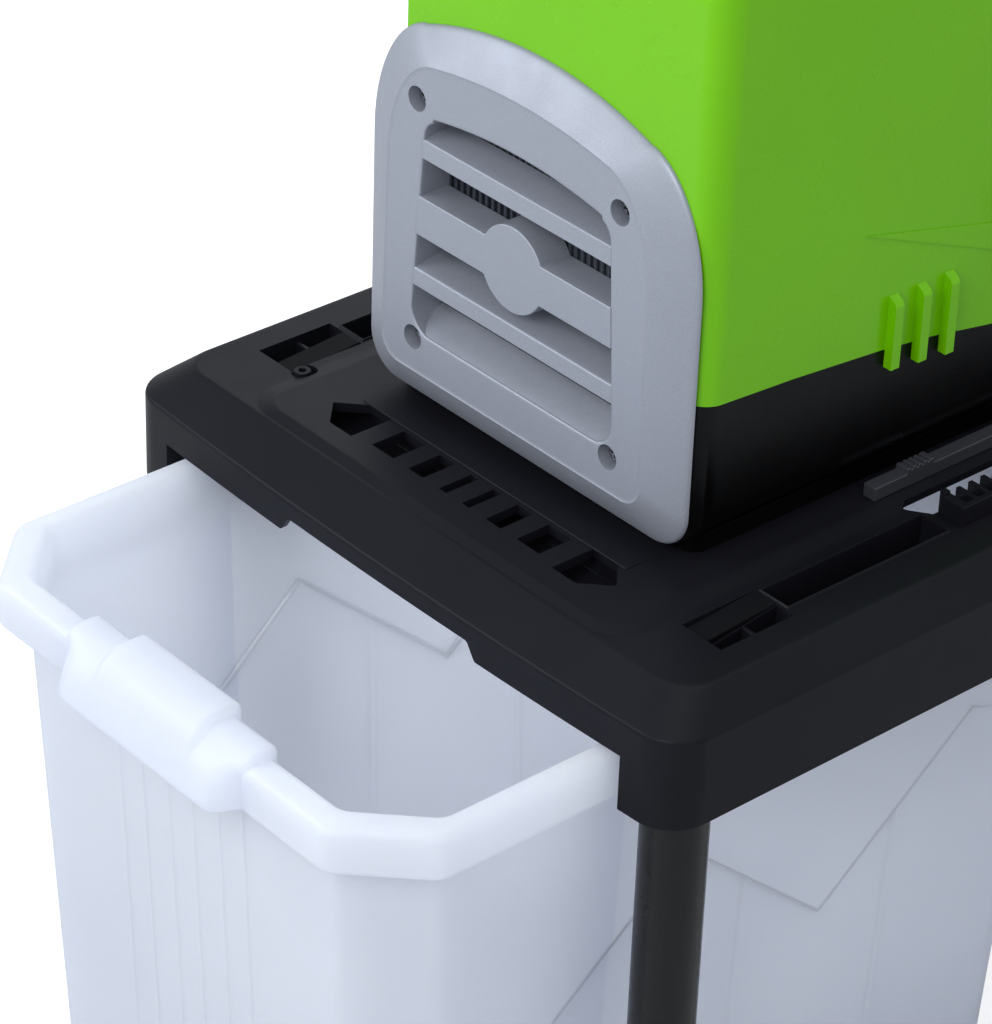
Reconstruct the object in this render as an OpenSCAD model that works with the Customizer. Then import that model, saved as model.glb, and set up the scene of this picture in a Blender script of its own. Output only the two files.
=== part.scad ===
// Electric wood chipper on a wheeled frame, with a sliding collecting bin.
// Sizes in millimetres. Left and right are seen from the front, which faces -Y.

/* [Frame] */
// Height of the deck's raised middle above the floor
deck_h = 480; // [450:5:520]
// Outer diameter of the leg tubes
leg_d = 35; // [28:1:36]
// Diameter of the two rear wheels
wheel_d = 170; // [150:5:190]

/* [Collecting bin] */
// How far the bin stands pulled out of the frame
bin_out = 145; // [20:5:200]
// Depth of the bin, from its rim to its floor
bin_h = 375; // [240:5:380]

/* [Housing] */
// Height of the hopper's mouth above the deck
hopper_h = 445; // [425:5:470]
// Corner radius of the motor housing
body_r = 14; // [8:1:20]

/* [Cutting] */
// Radius of the cutting drum over its teeth
drum_r = 36; // [33:0.5:37]
// Number of teeth round the cutting drum
drum_teeth = 8; // [6:1:10]
// Number of blades on the cooling fan
fan_blades = 9; // [7:1:13]

/* [Hidden] */
$fn = 64;
e = 0.01;
leg_r = leg_d/2;
leg_x = 198;
leg_yf = -34;
leg_yr = 472;
wheel_r = wheel_d/2;
axle_z = wheel_r - deck_h;
side_z = 54 - deck_h;
bin_y = -58 - bin_out;
bin_l = 505;
deck_b = 498;
body_b = 412;
bin_front = bin_y - 14;
wheel_back = leg_yr + wheel_r;
org_y = -(bin_front + wheel_back)/2;
mz = 120;
mod_g = 1.25;
big_t = 70;
small_t = 14;
gear_a = mod_g*(big_t + small_t)/2;
cut_y = 290;

// ---------- helpers ----------
module place() { translate([0, org_y, deck_h]) children(); }
module box(a, b) { translate(a) cube([b[0]-a[0], b[1]-a[1], b[2]-a[2]]); }
// vertical extrusion between two heights
module zx(z0, z1) { translate([0, 0, z0]) linear_extrude(z1 - z0) children(); }
// a drawing in X and Z extruded between two depths
module yx(y0, y1) { translate([0, y1, 0]) rotate([90, 0, 0]) linear_extrude(y1 - y0) children(); }
// a drawing in Y and Z extruded between two widths
module xx(x0, x1) { translate([x0, 0, 0]) rotate([90, 0, 90]) linear_extrude(x1 - x0) children(); }
// rounded rectangle from corner to corner
module rr(x0, x1, y0, y1, r) {
  translate([x0 + r, y0]) square([x1 - x0 - 2*r, y1 - y0]);
  translate([x0, y0 + r]) square([x1 - x0, y1 - y0 - 2*r]);
  for (x = [x0 + r, x1 - r], y = [y0 + r, y1 - r]) translate([x, y]) circle(r, $fn = 32);
}
// cylinder along Y and along X
module cy(x, z, r, y0, y1) { translate([x, y0, z]) rotate([-90, 0, 0]) cylinder(r = r, h = y1 - y0); }
module cx(y, z, r, x0, x1) { translate([x0, y, z]) rotate([0, 90, 0]) cylinder(r = r, h = x1 - x0); }
function arc(cx0, cy0, r, a0, a1, n) = [for (i = [0:n]) [cx0 + r*cos(a0 + (a1-a0)*i/n), cy0 + r*sin(a0 + (a1-a0)*i/n)]];
function flip(p) = [for (i = [len(p)-1:-1:0]) [-p[i][0], p[i][1]]];
module sides() { children(); mirror([1, 0, 0]) children(); }

// outline of the deck seen from above, with a front edge that bows out
module deck_outline(hw, yf, yr, r, bow) {
  p = concat([for (i = [0:5]) [(hw - r)*i/6, yf - bow*(1 - pow(i/6, 2))]],
    arc(hw - r, yf + r, r, -90, 0, 6), arc(hw - r, yr - r, r, 0, 90, 6));
  polygon(concat(p, flip(p)));
}
// outline of the vent cover seen from the front
module cover_outline(d) {
  p = concat(arc(101, 30.6, 22.6, -90, 0, 6),
    [for (t = [0:10:80]) [77 + 46.6*cos(t), 150 + 73*sin(t)]],
    [for (x = [72:-12:0]) [x, 236.7 - 242.8 + sqrt(242.8*242.8 - x*x)]]);
  offset(delta = -d) polygon(concat(p, flip(p)));
}
// opening in the vent cover
module cover_window(d) {
  p = concat(arc(67.5, 62.8, 10, -90, 0, 4), arc(60.5, 166, 9.5, 0, 70, 4),
    [for (x = [56:-14:0]) [x, 185 - 330 + sqrt(330*330 - x*x)]]);
  offset(delta = d) polygon(concat(p, flip(p)));
}
// involute gear of stub teeth
function inv(a) = tan(a)*180/PI - a;
module gear2d(n, back) {
  pa = 25; rp = mod_g*n/2; rb = rp*cos(pa); ro = rp + 0.8*mod_g; rf = rp - 1.05*mod_g;
  function half(r) = 90/n - back + inv(pa) - (r > rb ? inv(acos(rb/r)) : 0);
  rs = max(rb, rf + 0.1);
  q = [[rf, half(rs) + 0.2], [rs, half(rs)], [rs + (ro-rs)*0.5, half(rs + (ro-rs)*0.5)], [ro, half(ro)]];
  polygon([for (k = [0:n-1]) for (i = [0:7])
    let (j = i < 4 ? i : 7 - i, s = i < 4 ? -1 : 1, a = 360*k/n + s*q[j][1]) [q[j][0]*cos(a), q[j][0]*sin(a)]]);
}

// ---------- frame ----------
module deck() color([0.12, 0.12, 0.14]) place() difference() {
  union() {
    hull() {
      zx(-22.5, -22.5 + e) deck_outline(218, -58, deck_b, 24, 5);
      zx(-2.5 - e, -2.5) deck_outline(203, -43, deck_b - 15, 20, 4);
    }
    zx(-70, -22.5) deck_outline(218, -58, deck_b, 24, 5);
    intersection() {
      zx(-76, -69) deck_outline(218, -58, deck_b, 24, 5);
      sides() union() { box([182.4, -70, -77], [220, -6, -60]); box([182.4, -6, -73], [220, 2, -60]); }
    }
    hull() {
      zx(-2.6, -2.6 + e) deck_outline(148, -42, deck_b - 40, 22, 2);
      zx(-e, 0) deck_outline(138, -39, deck_b - 50, 16, 2);
    }
  }
  difference() {
    union() {
      hull() {
        zx(-23.5, -23.5 + e) deck_outline(215, -55, deck_b - 3, 21, 5);
        zx(-5.5 - e, -5.5) deck_outline(200, -40, deck_b - 18, 17, 4);
      }
      zx(-80, -23.5) deck_outline(215, -55, deck_b - 3, 21, 5);
    }
    // leg sockets
    sides() for (y = [leg_yf, leg_yr]) translate([leg_x, y, -76]) cylinder(r = leg_r + 3.4, h = 74);
    // front corner blocks closed on their inner side
    sides() box([182.4, -62, -76], [185.2, -16, -4]);
    // tubs under the pockets
    sides() { box([155.5, 55, -29], [178, 172, -4]); box([153, 3, -25], [185, 56, -4]); }
    // floor ribs under the housing
    for (y = [60, 150, 225]) box([-140, y, -22], [140, y + 2.6, -4]);
    box([-84, 232, -30], [84, 346, -4]);
    // front edge stiffener
    box([-182, -22, -26], [182, -19.5, -4]);
  }
  // leg sockets' bores and trimmed ends
  sides() for (y = [leg_yf, leg_yr]) translate([leg_x, y, -90]) cylinder(r = leg_r + 0.06, h = 64);
  box([-230, 440, -90], [230, 510, -70]);
  // front opening for the bin
  zx(-90, -38) polygon([[-182.4, -80], [182.4, -80], [182.4, -18], [-182.4, -18]]);
  yx(-80, -30) polygon([[-182.4, -90], [182.4, -90], [182.4, -38], [78, -38], [71, -28.5], [-71, -28.5], [-78, -38], [-182.4, -38]]);
  box([-150, -23, -90], [150, -18, -24]);
  // row of vent slots
  sides() zx(-12, 5) {
    polygon([[79.8, -14.2], [97.6, -14.2], [112.4, 0], [97.6, 14.2], [79.8, 14.2]]);
    translate([49, -10.9]) square([17.5, 21.8]);
    translate([24.9, -10.9]) square([11.8, 21.8]);
    translate([6.1, -10.9]) square([5.8, 21.8]);
  }
  // long side pockets and front recesses
  sides() {
    box([157.5, 57, -27], [176, 170, 5]);
    zx(-23, 5) polygon([[171, 5], [183, 5], [183, 54], [171, 54]]);
    xx(155, 171) polygon([[5, 5], [5, -10], [54, -3], [54, 5]]);
    // slot beside the housing, its front end cut on the slant
    zx(-12, 5) polygon([[143, 172], [146, 166], [160, 176], [160, 400], [143, 400]]);
  }
  // discharge hole
  zx(-40, 5) rr(-78, 78, 238, 340, 6);
  // screw hole beside each front recess
  sides() translate([146.5, 8, -20]) cylinder(r = 2.2, h = 30);
}

module bin_rail() color([0.12, 0.12, 0.14]) place() difference() {
  xx(168.4, 182) polygon([[-14, -71.4], [440, -71.4], [440, -5.6], [-14, -5.6]]);
  box([160, -20, -68.4], [178.4, 450, 0]);
  for (y = [40, 220, 400]) cx(y, -58, 2.2, 170, 190);
  box([150, 0, -40], [190, 176, 0]);
  box([150, 420, -40], [190, 450, 0]);
}
module bin_rail_right() bin_rail();
module bin_rail_left() mirror([1, 0, 0]) bin_rail();

module leg(y, z0) color([0.06, 0.06, 0.07]) place() difference() {
  translate([leg_x, y, z0]) cylinder(r = leg_r, h = -26.5 - z0);
  translate([leg_x, y, z0 - 1]) cylinder(r = leg_r - 1.6, h = -26.5 - z0 + 2);
  if (y > 0) cx(y, axle_z, 8.05, 150, 250);
}
module leg_front_right() leg(leg_yf, -deck_h + 6);
module leg_front_left() mirror([1, 0, 0]) leg(leg_yf, -deck_h + 6);
module leg_rear_right() leg(leg_yr, -deck_h + 24);
module leg_rear_left() mirror([1, 0, 0]) leg(leg_yr, -deck_h + 24);

module foot() color([0.07, 0.07, 0.07]) place() translate([leg_x, leg_yf, -deck_h]) difference() {
  rotate_extrude($fn = 48) polygon([[0, 0], [leg_r + 2, 0], [leg_r + 4, 2], [leg_r + 4, 12], [leg_r + 3, 36], [leg_r + 2.4, 38], [0, 38]]);
  translate([0, 0, 6]) cylinder(r = leg_r + 0.06, h = 60);
}
module foot_right() foot();
module foot_left() mirror([1, 0, 0]) foot();

module side_tube() color([0.06, 0.06, 0.07]) place() difference() {
  cy(leg_x, side_z, 11, leg_yf, leg_yr);
  cy(leg_x, side_z, 9.6, leg_yf - 1, leg_yr + 1);
  for (y = [leg_yf, leg_yr]) translate([leg_x, y, side_z - 30]) cylinder(r = leg_r + 0.05, h = 60);
}
module side_tube_right() side_tube();
module side_tube_left() mirror([1, 0, 0]) side_tube();
module rear_tube() color([0.06, 0.06, 0.07]) place() difference() {
  cx(leg_yr, -200, 11, -leg_x, leg_x);
  cx(leg_yr, -200, 9.6, -leg_x - 1, leg_x + 1);
  for (x = [-leg_x, leg_x]) translate([x, leg_yr, -230]) cylinder(r = leg_r + 0.05, h = 60);
}
module axle() color([0.6, 0.6, 0.62]) place() difference() {
  cx(leg_yr, axle_z, 8, -266, 266);
  sides() translate([263, leg_yr - 10, axle_z - 1.2]) cube([1.6, 20, 2.4]);
}

// ---------- wheels ----------
module tyre() color([0.05, 0.05, 0.05]) place() translate([222, leg_yr, axle_z]) rotate([0, 90, 0])
  difference() {
    rotate_extrude($fn = 72) polygon([[wheel_r - 19, 2], [wheel_r - 9, 0], [wheel_r - 3, 3], [wheel_r, 9],
      [wheel_r, 15], [wheel_r - 1.5, 16], [wheel_r - 1.5, 20], [wheel_r, 21], [wheel_r, 27], [wheel_r - 3, 33], [wheel_r - 9, 36], [wheel_r - 19, 34]]);
    for (k = [0:35]) rotate([0, 0, k*10]) translate([wheel_r - 2.2, -1.2, k % 2 == 0 ? 2 : 22]) cube([5, 2.4, 12]);
  }
module tyre_right() tyre();
module tyre_left() mirror([1, 0, 0]) tyre();
module hub() color([0.16, 0.16, 0.17]) place() translate([222, leg_yr, axle_z]) rotate([0, 90, 0]) difference() {
  union() {
    rotate_extrude($fn = 72) polygon([[wheel_r - 24, 4], [wheel_r - 19, 2], [wheel_r - 19, 34], [wheel_r - 24, 32], [wheel_r - 26, 22], [wheel_r - 26, 14]]);
    cylinder(r = 16, h = 37);
    translate([0, 0, 15]) cylinder(r = wheel_r - 22, h = 6);
    for (k = [0:5]) rotate([0, 0, k*60]) translate([14, -2, 6]) cube([wheel_r - 38, 4, 24]);
  }
  translate([0, 0, -1]) cylinder(r = 8.08, h = 50);
  for (k = [0:5]) rotate([0, 0, k*60 + 30]) translate([(wheel_r - 8)/2, 0, 10]) cylinder(r = (wheel_r - 46)/3.4, h = 20, $fn = 32);
}
module hub_right() hub();
module hub_left() mirror([1, 0, 0]) hub();
module wheel_cap() color([0.10, 0.10, 0.11]) place() translate([259.05, leg_yr, axle_z]) rotate([0, 90, 0]) difference() {
  rotate_extrude($fn = 48) polygon([[0, 0], [17, 0], [17, 4], [14, 8], [8, 10.4], [0, 11]]);
  translate([0, 0, -1]) cylinder(r = 9.2, h = 9);
}
module wheel_cap_right() wheel_cap();
module wheel_cap_left() mirror([1, 0, 0]) wheel_cap();

// ---------- collecting bin ----------
// outline of the bin at a given inset, front corners cut at 45 degrees
module bin_outline(d, r) {
  a = 175 - d; f = d; b = bin_l - d; c = 40 - d*0.4;
  p = concat([[0, f], [a - c - 6, f], [a - c + 1.5, f + 2.2], [a - 2.2, f + c - 1.5], [a, f + c + 6]], arc(a - r, b - r, r, 0, 90, 5));
  polygon(concat(p, flip(p)));
}
module bin() color([0.86, 0.88, 0.93]) place() translate([0, bin_y, -43]) {
  difference() {
    union() {
      hull() {
        zx(-20, -20 + e) bin_outline(9, 22);
        zx(-bin_h + 14, -bin_h + 14 + e) bin_outline(24, 24);
        zx(-bin_h, -bin_h + e) bin_outline(34, 24);
      }
      // rim
      zx(-24.6, 0) bin_outline(1.5, 26);
      zx(-22, -3) bin_outline(0, 27);
      // grip, two steps
      zx(-25, 3.5) polygon([[-76, 20], [-70, 9], [-66, -9], [66, -9], [70, 9], [76, 20], [60, 21], [-60, 21]]);
      zx(-27, 4.5) polygon([[-73, 5], [-62, -11], [-56, -14], [56, -14], [62, -11], [73, 5]]);
      zx(-25, 9.5) polygon([[-42, 24], [-38, -9], [38, -9], [42, 24]]);
    }
    hull() {
      zx(10, 10 + e) bin_outline(13.5, 18);
      zx(-4, -4 + e) bin_outline(14.5, 18);
      zx(-bin_h + 16, -bin_h + 16 + e) bin_outline(27, 22);
      zx(-bin_h + 3, -bin_h + 3 + e) bin_outline(36, 22);
    }
    zx(0, 30) bin_outline(14, 18);
  }
}

// ---------- motor housing ----------
module body_foot(d) { rr(-127 + d, 127 - d, 36 + d, body_b - d, body_r - d); }
module body_side(d) {
  polygon(concat([[36 + d, 10 + d], [body_b - d, 10 + d], [body_b - d, 352 - d]], arc(body_b - 22 - d, 354 - d, 22, 0, 90, 6),
    arc(122 + d, 352 - d, 24, 90, 118, 4), arc(60 + d, 306 - d, 24, 135, 180, 5)));
}
module body_front(d) { rr(-127 + d, 127 - d, 10 + d, 376 - d, 22); }
module body_solid(d) difference() {
  intersection() { zx(0, 400) body_foot(d); xx(-140, 140) body_side(d); yx(0, 440) body_front(d); }
  // front corner cut back on the left, above the vent cover's shoulder
  zx(172 - d, 420) polygon([[-140, -20], [-44 + d*1.4142, -20], [-140, 76 + d*1.4142]]);
}
// everything below the line between the two shells
module below_split(g) { xx(-150, 150) polygon([[0, -20], [440, -20], [440, 50 - g], [400, 52 - g], [300, 64 - g], [243, 71.5 - g], [200, 79.5 - g], [161, 84.5 - g], [100, 90 - g], [37, 94 - g], [0, 95 - g]]); }

module lower_shell() color([0.05, 0.05, 0.06]) place() difference() {
  union() {
    difference() { intersection() { body_solid(0); below_split(0); } body_solid(3); }
    // foot the housing stands on
    difference() { zx(0, 11) rr(-116, 116, 48, body_b - 12, 10); zx(-1, 12) rr(-113, 113, 51, body_b - 15, 8); }
    // saddles for the motor
    intersection() {
      for (y = [96, 148]) box([-66, y, 11], [66, y + 5, 96]);
      union() { difference() { below_split(0); cy(0, mz, 60.1, 60, 200); } }
    }
    // pillars for the gearbox
    for (x = [-76, 20]) box([x - 4, 200, 11], [x + 4, 206, mz - 52]);
    // frame round the discharge hole
    difference() { zx(12, 30) rr(-66, 66, 244.6, 335.6, 4); zx(11, 31) rr(-63.2, 63.2, 247.6, 332.6, 2); }
  }
  zx(-5, 40) rr(-62, 62, 252, 329, 2);
  // air inlet behind the vent cover
  yx(30, 42) rr(-88, 88, 24, 130, 12);
  // air outlets in the floor
  for (x = [-90:12:90]) box([x - 2.5, 70, 5], [x + 2.5, 90, 16]);
  // holes for the vent cover's screws
  for (x = [-76, 76]) cy(x, 48.5, 2.1, 30, 45);
  cx(cut_y, mz, 7, 110, 140);
  box([-137, 60, 84], [-120, 120, 150]);
}

module upper_shell() color([0.42, 0.72, 0.12]) place() difference() {
  union() {
    difference() { body_solid(0); body_solid(3); below_split(0); }
    // clip ribs over the joint line
    sides() for (y = [164, 184, 204])
      yx(y, y + 6) polygon([[127, 74 - (y - 164)*0.12], [132.5, 74 - (y - 164)*0.12], [132.5, 110], [131, 112.5], [126.9, 115], [126.9, 90], [127, 90]]);
    // wedge on each side
    sides() intersection() {
      xx(126.5, 127.7) polygon([[143, 156], [330, 110.6], [330, 79], [300, 92]]);
      union() { difference() { box([126.99, 140, 60], [127.7, 340, 160]); below_split(-0.3); } }
    }
    // round boss behind the adjusting knob
    difference() { cx(cut_y, mz, 26, 126.5, 130.5); box([100, 200, 60], [126.99, 360, 180]); }
  }
  // air inlet behind the vent cover
  yx(30, 42) rr(-88, 88, 60, 205, 22);
  // opening for the hopper
  zx(340, 400) rr(-104, 104, 172, 356, 12);
  // opening for the controls, square to the sloping front
  on_slope() box([-52, -24, -20], [52, 24, 12]);
  for (x = [-76.4, 76.4]) cy(x, 186.5, 2.1, 30, 45);
  cx(cut_y, mz, 7, 110, 140);
  cx(160, 118, 6.1, -140, -110);
  // opening for the power inlet
  box([-137, 200, 96], [-120, 252, 146]);
}
// frame of reference on the housing's sloping front: X across, Y up the slope, Z outwards
module on_slope() { translate([0, 72.5, 347]) rotate([40, 0, 0]) children(); }

// ---------- vent cover ----------
module vent_cover() color([0.70, 0.72, 0.76]) place() {
  difference() {
    hull() {
      yx(33, 36) cover_outline(0);
      yx(28.6, 28.6 + e) cover_outline(3.2);
      yx(25.2, 25.2 + e) cover_outline(9.5);
      yx(22.5, 22.5 + e) cover_outline(22);
    }
    difference() {
      hull() {
        yx(36, 37) cover_outline(3);
        yx(31, 31 + e) cover_outline(6);
        yx(26, 26 + e) cover_outline(22);
      }
      yx(20, 40) cover_window(2.6);
      for (x = [-1, 1]) { cy(x*76.4, 186.5, 10, 20, 40); cy(x*76, 48.5, 10, 20, 40); }
    }
    yx(0, 40) cover_window(0);
    for (x = [-1, 1]) for (p = [[76.4, 186.5], [76, 48.5]]) { cy(x*p[0], p[1], 6.9, 10, 31.5); cy(x*p[0], p[1], 2.6, 10, 40); }
  }
  // louvre bars, the middle one with a disc
  intersection() {
    union() {
      box([-90, 22.9, 154.6], [90, 36, 165.4]);
      box([-90, 22.9, 110], [90, 36, 132.6]);
      box([-90, 22.9, 79.4], [90, 36, 89.6]);
      cy(0, 121.6, 24, 22.9, 36);
    }
    yx(20, 40) cover_window(-0.0);
  }
}
module cover_screw(x, z) color([0.35, 0.35, 0.37]) place() difference() {
  union() { cy(x, z, 4.6, 28.6, 31.5); cy(x, z, 2, 31.5, 48); }
  translate([x - 3.2, 28, z - 0.6]) cube([6.4, 2.2, 1.2]);
  translate([x - 0.6, 28, z - 3.2]) cube([1.2, 2.2, 6.4]);
}
module cover_screw_1() cover_screw(-76.4, 186.5);
module cover_screw_2() cover_screw(76.4, 186.5);
module cover_screw_3() cover_screw(-76, 48.5);
module cover_screw_4() cover_screw(76, 48.5);

// ---------- motor ----------
module fan() color([0.15, 0.15, 0.16]) place() translate([0, 0, mz]) difference() {
  union() {
    cy(0, 0, 12, 46, 68);
    cy(0, 0, 72, 66, 68);
    for (k = [0:fan_blades - 1]) rotate([0, k*360/fan_blades, 0]) box([10, 48, -1], [71, 66, 1]);
  }
  cy(0, 0, 6.02, 40, 80);
}
module stator() color([0.45, 0.45, 0.47]) place() translate([0, 0, mz]) difference() {
  union() {
    cy(0, 0, 60, 88, 160);
    difference() { union() { cy(0, 0, 54, 82, 88); cy(0, 0, 54, 160, 166); } cy(0, 0, 42, 80, 170); }
  }
  cy(0, 0, 37, 70, 170);
  for (k = [0:23]) rotate([0, k*15, 0]) box([36, 87, -1.5], [52, 161, 1.5]);
}
module rotor() color([0.62, 0.62, 0.64]) place() translate([0, 0, mz]) {
  cy(0, 0, 36.4, 90, 158);
  cy(0, 0, 6, 45, 90);
  cy(0, 0, 6, 158, 208);
  difference() { yx(193, 206) rotate(180/small_t) gear2d(small_t, 0.5); cy(0, 0, 6, 190, 210); }
}
module shield_front() color([0.70, 0.70, 0.72]) place() translate([0, 0, mz]) difference() {
  union() {
    difference() { cy(0, 0, 60, 72, 82); cy(0, 0, 56, 70, 84); }
    cy(0, 0, 15, 71, 82);
    for (k = [0:5]) rotate([0, k*60, 0]) box([12, 73, -4], [58, 78, 4]);
  }
  cy(0, 0, 6.05, 60, 90);
}
module shield_rear() color([0.70, 0.70, 0.72]) place() translate([0, 0, mz]) difference() {
  union() {
    difference() { cy(0, 0, 60, 166, 176); cy(0, 0, 56, 165, 177); }
    cy(0, 0, 15, 166, 177);
    for (k = [0:5]) rotate([0, k*60, 0]) box([12, 170, -4], [58, 175, 4]);
  }
  cy(0, 0, 6.05, 160, 190);
}

// ---------- reduction gear ----------
module case2d(d) { translate([0, mz]) { circle(50 - d); translate([-gear_a, 0]) circle(50 - d); translate([-gear_a, -50 + d]) square([gear_a, 100 - 2*d]); } }
module gearbox_case() color([0.66, 0.66, 0.68]) place() difference() {
  union() { yx(186, 234) case2d(0); cy(0, mz, 18, 178, 190); }
  yx(189.5, 240) case2d(3);
  cy(0, mz, 6.05, 170, 250);
  cy(-gear_a, mz, 6.05, 170, 250);
}
module gearbox_cover() color([0.66, 0.66, 0.68]) place() difference() {
  union() { yx(234, 239) case2d(0); yx(231, 234) case2d(3.2); }
  yx(225, 235) case2d(8);
  cy(0, mz, 9.05, 225, 250);
  cy(-gear_a, mz, 6.05, 225, 250);
}
module mid_gear() color([0.55, 0.55, 0.57]) place() translate([-gear_a, 0, mz]) {
  cy(0, 0, 6, 186.5, 238.5);
  difference() { yx(193.5, 205.5) gear2d(big_t, 0.1); cy(0, 0, 6, 190, 210); cy(0, 0, 37, 203, 210); for (k = [0:4]) rotate([0, k*72, 0]) cy(24, 0, 7, 190, 210); }
  difference() { cy(0, 0, 11, 203, 207); cy(0, 0, 6, 190, 240); }
  difference() { yx(213, 230) rotate(0) gear2d(small_t, 0.5); cy(0, 0, 6, 190, 240); }
}
module drum_gear() color([0.55, 0.55, 0.57]) place() translate([0, 0, mz]) difference() {
  union() { yx(213.5, 229.5) rotate(180/big_t) gear2d(big_t, 0.1); cy(0, 0, 15, 212, 233); }
  cy(0, 0, 9.02, 200, 240);
  for (k = [0:4]) rotate([0, k*72, 0]) cy(27, 0, 8, 200, 240);
}

// ---------- cutting ----------
module drum() color([0.5, 0.5, 0.52]) place() translate([0, 0, mz]) {
  cy(0, 0, 9, 211, 256);
  cy(0, 0, 9, 324, 336);
  for (j = [0:3]) translate([0, 256 + j*17, 0]) rotate([0, j*8, 0])
    yx(0, j < 3 ? 17 : 17) polygon([for (k = [0:drum_teeth-1]) for (i = [0:3])
      let (a = 360*k/drum_teeth + [0, 12, 26, 30][i]*8/drum_teeth, r = [drum_r, drum_r, drum_r - 11, drum_r - 12][i]) [r*cos(a), r*sin(a)]]);
}
module cutter_chamber() color([0.62, 0.63, 0.65]) place() difference() {
  union() {
    box([-61, 248, 14], [62, 253, 60]);
    box([-61, 248, 60], [76, 253, 168]);
    box([-61, 253, 60], [-56, 327, 168]);
    box([62, 253, 60], [76, 327, 168]);
    cy(0, mz, 20, 241, 249);
  }
  box([-55, 247, 10], [55, 328, 70]);
  box([-38, 245, 158], [38, 340, 170]);
  cy(0, mz, 9.05, 240, 340);
  // guide for the pressure plate and seat for the screw's nut
  cx(cut_y, mz, 9.06, 60, 80);
}
module chamber_cover() color([0.62, 0.63, 0.65]) place() difference() {
  union() { box([-61, 327, 14], [62, 332, 60]); box([-61, 327, 60], [76, 332, 168]); cy(0, mz, 18, 331, 338); }
  box([-55, 320, 10], [55, 340, 70]);
  box([-38, 320, 158], [38, 340, 170]);
  cy(0, mz, 9.05, 320, 337);
}
module pressure_plate() color([0.72, 0.72, 0.74]) place() difference() {
  union() {
    box([drum_r + 0.8, 254.5, mz - 26], [drum_r + 8, 325.5, mz + 26]);
    cx(cut_y, mz, 13, drum_r + 7, 52);
  }
  cy(0, mz, drum_r + 0.8, 250, 330);
  cx(cut_y, mz, 5.06, 47, 60);
}
module adjust_nut() color([0.72, 0.58, 0.28]) place() difference() {
  union() { cx(cut_y, mz, 9, 62, 76); cx(cut_y, mz, 12, 76, 80); }
  cx(cut_y, mz, 5.06, 50, 100);
}
module adjust_screw() color([0.6, 0.6, 0.62]) place() {
  cx(cut_y, mz, 5, 47.5, 136);
}
module adjust_knob() color([0.07, 0.07, 0.08]) place() difference() {
  union() {
    cx(cut_y, mz, 11, 135, 137);
    xx(136.5, 154) translate([cut_y, mz]) { circle(20); for (k = [0:7]) rotate(k*45) translate([18, 0]) circle(4.4, $fn = 24); }
  }
  cx(cut_y, mz, 5.02, 130, 148);
  cx(cut_y, mz, 14, 152, 160);
}

// ---------- hopper ----------
module hopper() color([0.07, 0.07, 0.08]) place() difference() {
  union() {
    hull() { zx(240, 240 + e) rr(-38, 38, 254, 326, 6); zx(hopper_h - 1 - e, hopper_h - 1) rr(-128, 128, 146, 366, 26); }
    zx(171, 241) rr(-38, 38, 254, 326, 6);
    zx(376.3, 379.8) rr(-118, 118, 158, 362, 14);
    zx(hopper_h - 12, hopper_h - 1) rr(-130, 130, 144, 368, 28);
  }
  hull() { zx(240, 240 + e) rr(-35, 35, 257, 323, 5); zx(hopper_h, hopper_h + e) rr(-125, 125, 149, 363, 24); }
  zx(160, 241) rr(-35, 35, 257, 323, 5);
}
module hopper_rim() color([0.42, 0.72, 0.12]) place() difference() {
  union() { zx(hopper_h - 1, hopper_h + 4) rr(-133, 133, 141, 371, 31); zx(hopper_h - 9, hopper_h - 1) rr(-133, 133, 141, 371, 31); }
  zx(hopper_h - 20, hopper_h - 1) rr(-130.2, 130.2, 143.8, 368.2, 28);
  zx(hopper_h - 20, hopper_h + 10) rr(-125, 125, 149, 363, 24);
}
module guard_flap() color([0.05, 0.05, 0.05]) place() intersection() {
  hull() { zx(240, 240 + e) rr(-34.9, 34.9, 257.1, 322.9, 5); zx(hopper_h, hopper_h + e) rr(-124.9, 124.9, 149.1, 362.9, 24); }
  difference() {
    box([1, 100, 330], [130, 400, 333]);
    for (y = [225, 250, 275, 300, 325]) box([-1, y - 0.6, 320], [66, y + 0.6, 340]);
  }
}
module guard_flap_right() guard_flap();
module guard_flap_left() mirror([1, 0, 0]) guard_flap();

// ---------- controls ----------
module console() color([0.07, 0.07, 0.08]) place() on_slope() difference() {
  union() {
    zx(0.35, 4) rr(-60, 60, -31, 31, 9);
    zx(-10, 0.35) rr(-51, 51, -23, 23, 6);
  }
  zx(-20, -2) rr(-48.5, 48.5, -20.5, 20.5, 4);
  for (x = [-35, -8]) translate([x, 0, -3]) cylinder(r = 11, h = 20);
  translate([30, 0, -3]) cylinder(r = 8.05, h = 20);
}
module button(x, c, h) color(c) place() on_slope() translate([x, 0, 0]) {
  translate([0, 0, -4]) cylinder(r = 10.7, h = h + 4);
  translate([0, 0, -8]) cylinder(r = 10.7, h = 4);
}
module start_button() button(-35, [0.15, 0.55, 0.20], 6);
module stop_button() button(-8, [0.75, 0.08, 0.08], 9);
module selector() color([0.12, 0.12, 0.13]) place() on_slope() translate([30, 0, 0]) {
  translate([0, 0, -9]) cylinder(r = 8, h = 13.4);
  translate([0, 0, 4.4]) cylinder(r = 14, h = 4);
  translate([-2.5, -14, 8.4]) cube([5, 28, 7]);
}
module power_inlet() color([0.08, 0.08, 0.09]) place() difference() {
  union() { xx(-137, -127) rr(204, 248, 100, 142, 6); xx(-127, -112) rr(202, 250, 98, 144, 4); }
  xx(-140, -116) rr(210, 242, 106, 136, 8);
  cx(229, 112, 0.1, -110, -109);
}
module reset_button() color([0.65, 0.10, 0.10]) place() { cx(160, 118, 6, -131, -116); }
module capacitor() color([0.55, 0.56, 0.6]) place() { cy(86, 60, 20, 100, 180); cy(86, 60, 8, 96, 100); }

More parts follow.
